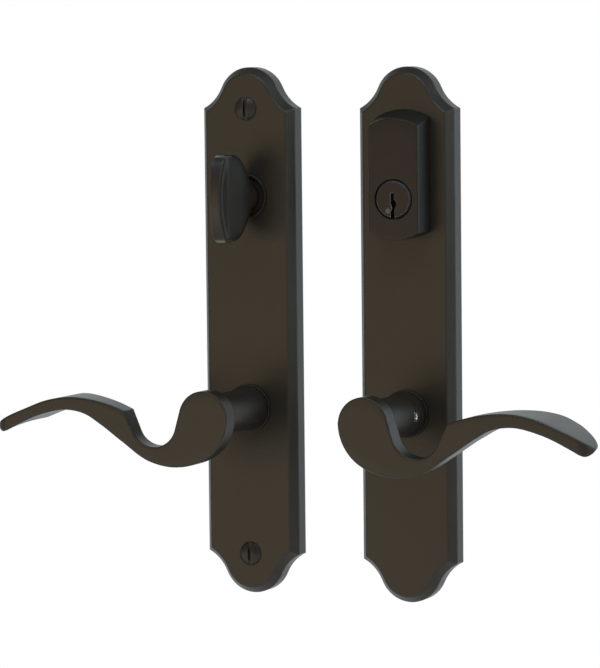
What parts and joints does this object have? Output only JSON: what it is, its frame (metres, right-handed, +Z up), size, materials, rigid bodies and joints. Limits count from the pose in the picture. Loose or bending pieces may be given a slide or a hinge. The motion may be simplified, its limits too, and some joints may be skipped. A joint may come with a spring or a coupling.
{
  "type": "lever handle set",
  "caption": "Dark bronze door handle set: interior and exterior arched backplates with wave levers, a thumb-turn and a keyed cylinder block.",
  "frame": {"origin": "the interior lever's turning axis where it crosses the plane of both plates' backs, which is the door's face", "axes": "+X across the two plates from the interior one to the exterior one, +Y into the door along the spindles, +Z up; the plates' fronts face -Y"},
  "size_m": [0.235, 0.0714, 0.1904],
  "materials": {
    "dark_bronze": "dark bronze patina, satin",
    "plated_steel": "zinc plated",
    "cylinder_brass": "machined brass",
    "nylon": "natural nylon",
    "bare_steel": "bare bright steel"
  },
  "bodies": {
    "plates": {"interior_plate": "dark_bronze", "exterior_plate": "dark_bronze", "interior_lever_bush": "dark_bronze", "exterior_lever_bush": "dark_bronze", "thumb_turn_bush": "dark_bronze", "plate_screws": "dark_bronze", "cylinder_block": "dark_bronze", "interior_return_spring": "plated_steel", "exterior_return_spring": "plated_steel", "threaded_posts": "plated_steel", "cylinder_block_screws": "plated_steel", "pin_springs": "plated_steel", "cylinder_shell": "dark_bronze", "pin_chamber_cap": "cylinder_brass", "driver_pins": "cylinder_brass"},
    "interior_lever_body": {"interior_lever": "dark_bronze", "interior_lever_set_screw": "bare_steel", "interior_lever_washer": "nylon", "interior_spring_cam": "plated_steel", "interior_lever_retaining_ring": "plated_steel", "interior_spindle": "plated_steel"},
    "exterior_lever_body": {"exterior_lever": "dark_bronze", "exterior_lever_set_screw": "bare_steel", "exterior_lever_washer": "nylon", "exterior_spring_cam": "plated_steel", "exterior_lever_retaining_ring": "plated_steel", "exterior_spindle": "plated_steel"},
    "thumb_turn_body": {"thumb_turn": "dark_bronze", "thumb_turn_washer": "nylon", "thumb_turn_clip": "plated_steel", "thumb_turn_tailpiece": "plated_steel", "thumb_turn_cross_pin": "plated_steel"},
    "plug_body": {"cylinder_plug": "dark_bronze", "cylinder_plug_clip": "plated_steel", "cylinder_tailpiece": "plated_steel", "key_pins": "cylinder_brass"}
  },
  "joints": [
    {"name": "interior_lever_turn", "type": "hinge", "parent": "plates", "child": "interior_lever_body", "pos_m": [0, 0, 0], "axis": [0, -1, 0], "range_deg": [0, 45], "stiffness_Nm_per_rad": 0.9, "springref_deg": -20.05, "deforming": ["interior_return_spring"]},
    {"name": "exterior_lever_turn", "type": "hinge", "parent": "plates", "child": "exterior_lever_body", "pos_m": [0.062, 0, 0], "axis": [0, 1, 0], "range_deg": [0, 45], "stiffness_Nm_per_rad": 0.9, "springref_deg": -20.05, "deforming": ["exterior_return_spring"]},
    {"name": "thumb_turn_turn", "type": "hinge", "parent": "plates", "child": "thumb_turn_body", "pos_m": [0, 0, 0.0765], "axis": [0, -1, 0], "range_deg": [0, 90]},
    {"name": "cylinder_plug_turn", "type": "hinge", "parent": "plates", "child": "plug_body", "pos_m": [0.062, 0, 0.0765], "axis": [0, -1, 0], "range_deg": [-90, 90]}
  ]
}
